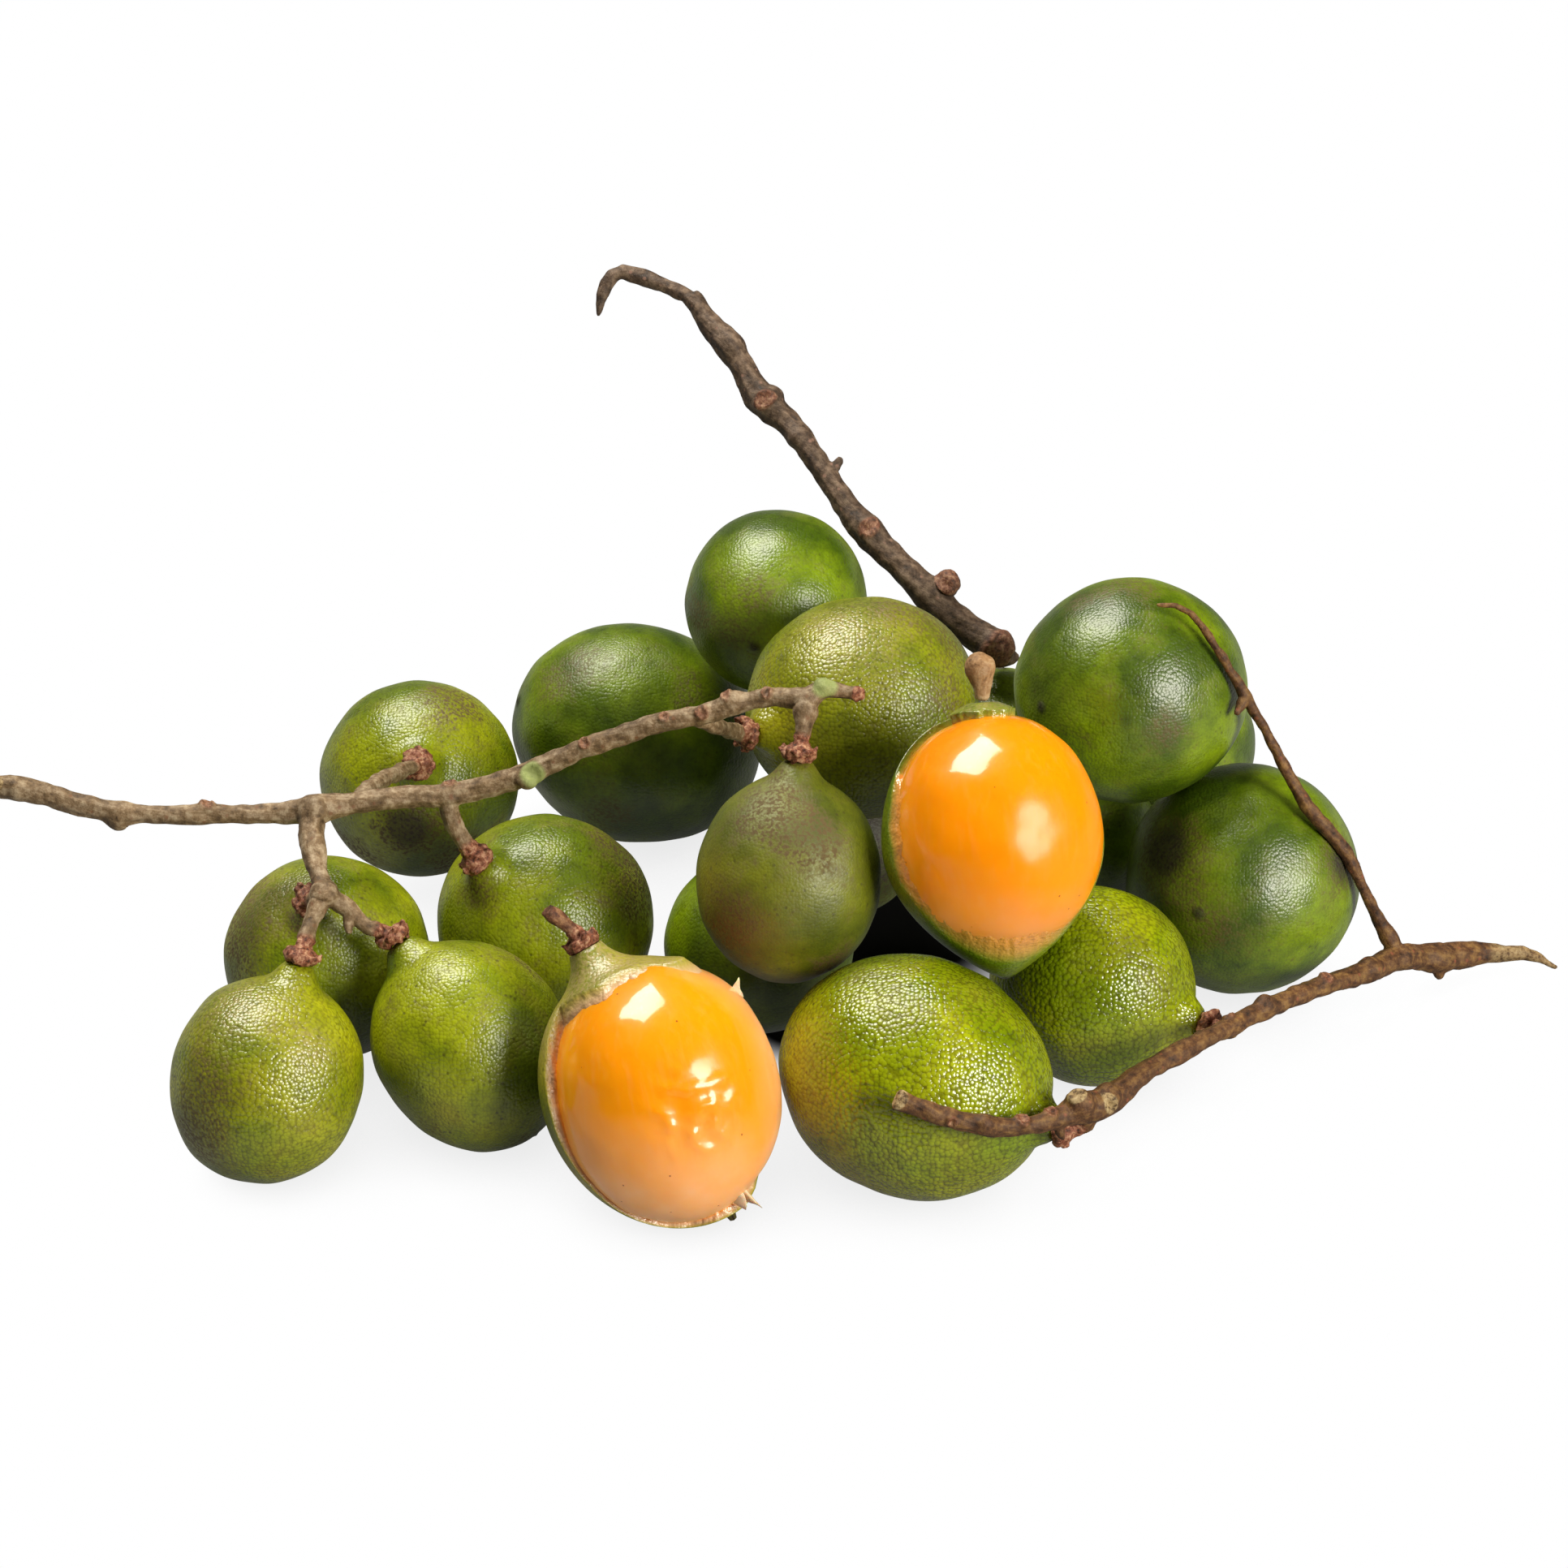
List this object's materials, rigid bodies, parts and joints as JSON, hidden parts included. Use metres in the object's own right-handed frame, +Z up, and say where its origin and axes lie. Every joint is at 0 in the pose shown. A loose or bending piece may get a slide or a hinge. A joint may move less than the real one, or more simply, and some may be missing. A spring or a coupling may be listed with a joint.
{
  "type": "bunch of mamoncillos",
  "caption": "Heap of round green mamoncillo fruits on and beside dry twigs, some peeled open to show glossy orange pulp.",
  "frame": {"origin": "middle of the heap's outer box, on the table", "axes": "+X along the heap's longest way, towards the right twig's dry tip; +Y to the back, where the dark twig points; +Z up"},
  "size_m": [0.2263, 0.1577, 0.0755],
  "materials": {
    "green_skin": "leathery, semi-gloss rind with fine pits",
    "dark_green_skin": "smoother, glossier dark green rind",
    "peeled_skin": "green rind outside, pale wet flesh at the torn edge",
    "pulp": "wet, glossy, translucent orange pulp",
    "dry_stalk": "dry, ridged, matt",
    "pale_bark": "pale grey-brown bark with small brown lenticels",
    "brown_bark": "mid brown bark, cream cut scars",
    "dark_bark": "dark grey-brown bark"
  },
  "bodies": {
    "root": {"left_twig_fruit_1": "green_skin", "left_twig_fruit_2": "green_skin", "left_twig_fruit_3": "green_skin", "left_twig_fruit_4": "green_skin", "left_twig_fruit_5": "green_skin", "left_twig_fruit_6": "green_skin", "left_twig_fruit_7": "green_skin", "right_twig_fruit_1": "green_skin", "right_twig_fruit_2": "green_skin", "back_twig_fruit": "green_skin", "loose_fruit_1": "dark_green_skin", "loose_fruit_2": "dark_green_skin", "loose_fruit_3": "dark_green_skin", "loose_fruit_4": "dark_green_skin", "loose_fruit_5": "dark_green_skin", "loose_fruit_6": "dark_green_skin", "loose_fruit_7": "dark_green_skin", "loose_fruit_8": "dark_green_skin", "opened_fruit_top_skin": "peeled_skin", "opened_fruit_top_pulp": "pulp", "opened_fruit_top_stalk": "dry_stalk", "opened_fruit_front_skin": "peeled_skin", "opened_fruit_front_pulp": "pulp", "opened_fruit_front_stalk": "dry_stalk", "left_twig": "pale_bark", "right_twig": "brown_bark", "back_twig": "dark_bark"}
  },
  "joints": []
}
